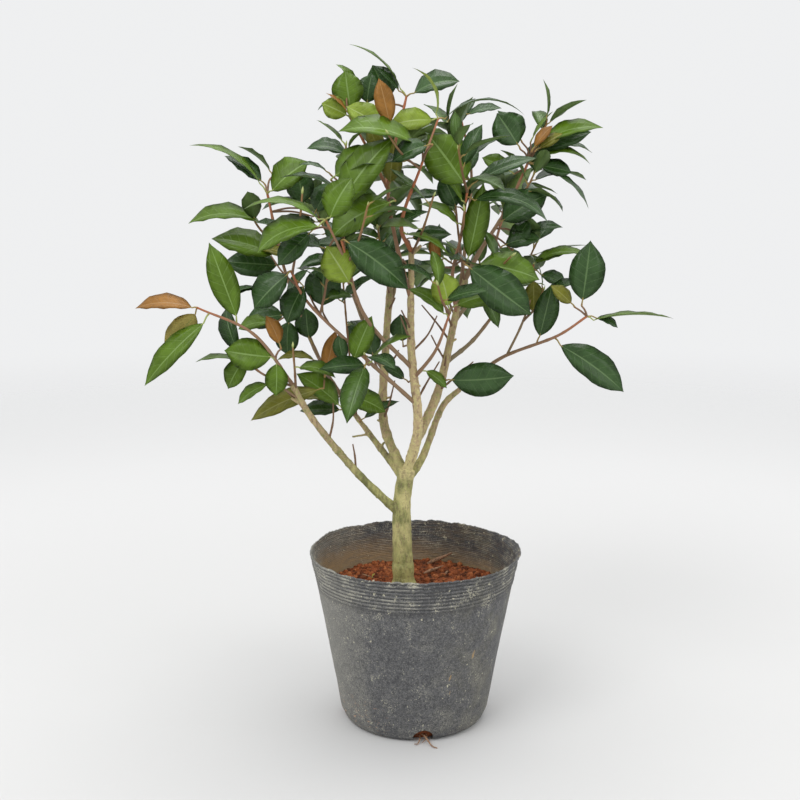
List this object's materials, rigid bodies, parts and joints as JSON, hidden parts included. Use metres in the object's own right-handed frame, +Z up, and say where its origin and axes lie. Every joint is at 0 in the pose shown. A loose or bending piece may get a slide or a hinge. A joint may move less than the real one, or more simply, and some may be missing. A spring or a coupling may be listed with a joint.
{
  "type": "potted camellia shrub",
  "caption": "Young camellia shrub with a short trunk, spreading boughs and an open crown of glossy leaves, in a soft black nursery pot of red gritty soil",
  "frame": {"origin": "middle of the flat underside of the pot, on the surface it stands on", "axes": "+Z up, -Y towards the front of the plant, +X to its right"},
  "size_m": [0.5189, 0.328, 0.6989],
  "materials": {
    "pot_plastic": "matte",
    "soil": "matte",
    "bark": "matte",
    "young_bark": "matte",
    "foliage": "satin"
  },
  "bodies": {
    "root": {"pot": "pot_plastic", "soil": "soil", "trunk": "bark", "bough_middle": "bark", "bough_left_leader": "bark", "bough_right_leader": "bark", "bough_low_left": "bark", "bough_left_back": "bark", "bough_low_right": "bark", "shoot_left_riser": "young_bark", "shoot_left_sprig": "young_bark", "shoot_slant": "young_bark", "shoot_high_slant": "young_bark", "shoot_back_riser": "young_bark", "shoot_back_left": "young_bark", "shoot_top_left": "young_bark", "shoot_front": "young_bark", "shoot_right_fork": "young_bark", "shoot_right_riser": "young_bark", "shoot_top_riser": "young_bark", "shoot_bud_riser": "young_bark", "shoot_back_right": "young_bark", "shoot_right_sprig": "young_bark", "mass_low_left_sprig": "foliage", "mass_low_left_upright": "foliage", "mass_left_lower_outer": "foliage", "mass_left_lower_inner": "foliage", "mass_left_middle": "foliage", "mass_left_side": "foliage", "mass_left_tip": "foliage", "mass_left_inner": "foliage", "mass_left_shoulder": "foliage", "mass_left_heart": "foliage", "mass_left_core": "foliage", "mass_low_centre": "foliage", "mass_top_left": "foliage", "mass_top": "foliage", "mass_top_front": "foliage", "mass_centre": "foliage", "mass_centre_right": "foliage", "mass_right_core": "foliage", "mass_front_low": "foliage", "mass_top_right": "foliage", "mass_top_right_lower": "foliage", "mass_right_upper": "foliage", "mass_right_leaf": "foliage", "mass_right_inner": "foliage", "mass_right_sprig": "foliage", "mass_low_right_leaf": "foliage", "mass_back_left": "foliage", "mass_back_middle": "foliage", "mass_back_right": "foliage", "mass_back_low": "foliage"}
  },
  "joints": []
}
